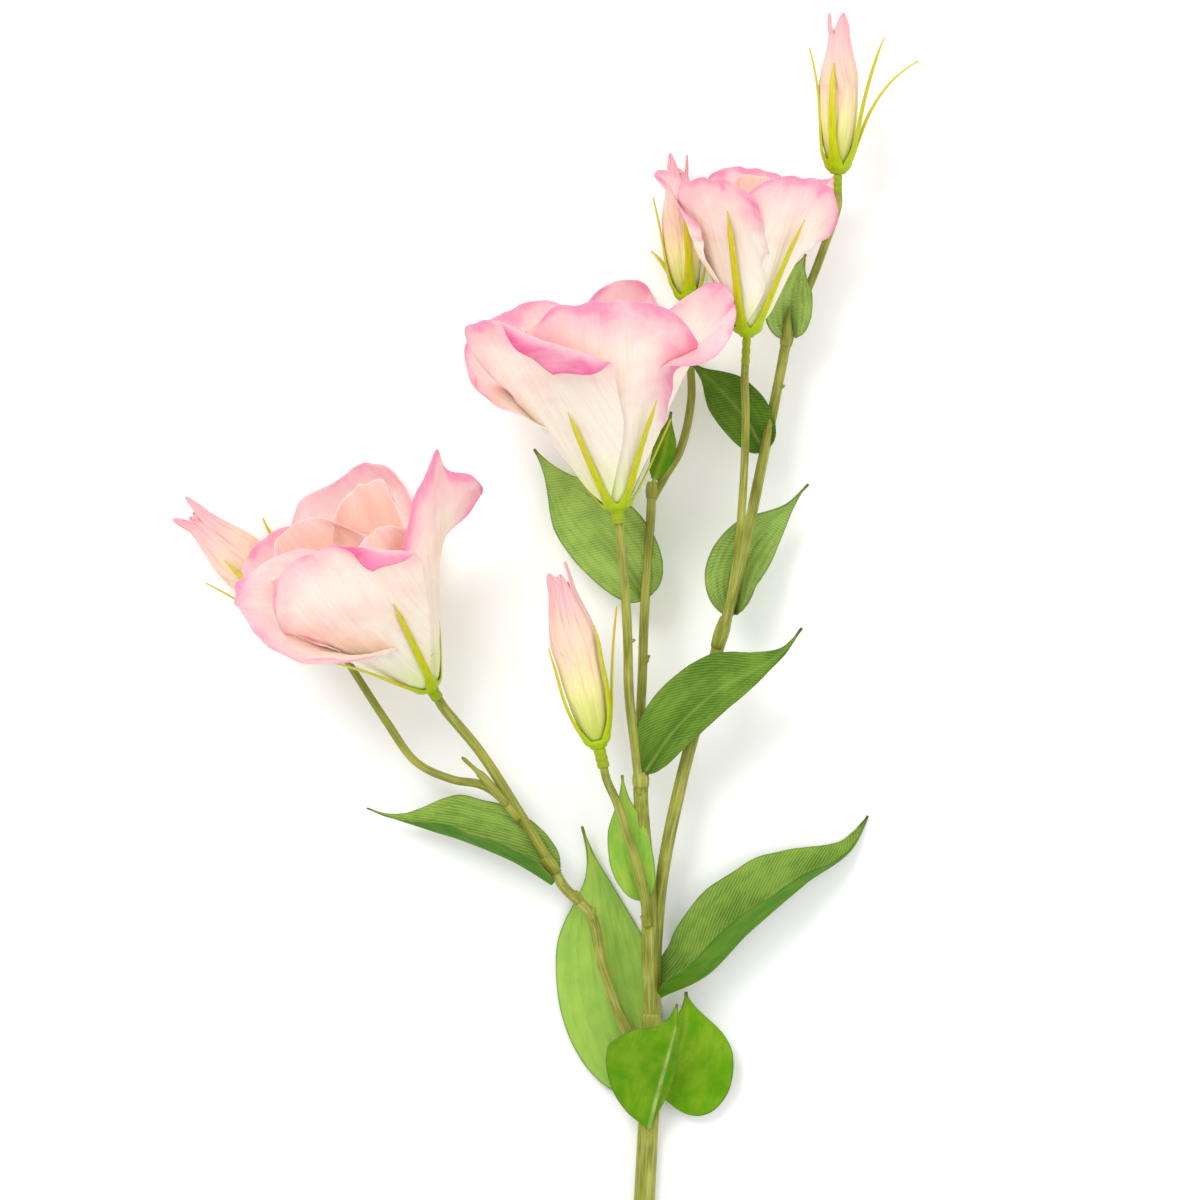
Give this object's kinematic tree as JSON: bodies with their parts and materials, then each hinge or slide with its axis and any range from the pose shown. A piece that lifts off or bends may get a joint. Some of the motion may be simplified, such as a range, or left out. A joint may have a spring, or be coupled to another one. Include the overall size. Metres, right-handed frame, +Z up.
{
  "type": "lisianthus flower spray",
  "caption": "Artificial lisianthus spray with pale pink open blooms, closed buds and folded leaves on a branching olive stem, lying flat.",
  "frame": {"origin": "on the surface that the spray lies on, under the middle of its bounding box", "axes": "+Z up from the surface, +Y along the spray from the cut end of the stem to the top bud, +X to the right as seen from above"},
  "size_m": [0.2493, 0.4555, 0.0895],
  "materials": {
    "stem": "satin",
    "leaf": "matte",
    "petal": "matte",
    "bud": "matte",
    "calyx": "satin",
    "pistil": "matte"
  },
  "bodies": {
    "root": {"main_stem": "stem", "left_branch": "stem", "centre_branch": "stem", "right_branch": "stem", "leaf_left": "leaf", "leaf_base_back": "leaf", "leaf_centre_small": "leaf", "leaf_right_large": "leaf", "leaf_centre_right": "leaf", "leaf_base_front": "leaf", "leaf_base_right": "leaf", "leaf_middle_back": "leaf", "leaf_middle_small": "leaf", "leaf_right_upper": "leaf", "leaf_right_lower": "leaf", "leaf_right_top": "leaf", "bloom_left_petals": "petal", "bloom_left_calyx": "calyx", "bloom_left_pistil": "pistil", "bloom_middle_petals": "petal", "bloom_middle_calyx": "calyx", "bloom_middle_pistil": "pistil", "bloom_right_petals": "petal", "bloom_right_calyx": "calyx", "bloom_right_pistil": "pistil", "bud_top_petals": "bud", "bud_top_calyx": "calyx", "bud_upper_petals": "bud", "bud_upper_calyx": "calyx", "bud_lower_petals": "bud", "bud_lower_calyx": "calyx", "bud_side_petals": "bud", "bud_side_calyx": "calyx"}
  },
  "joints": []
}
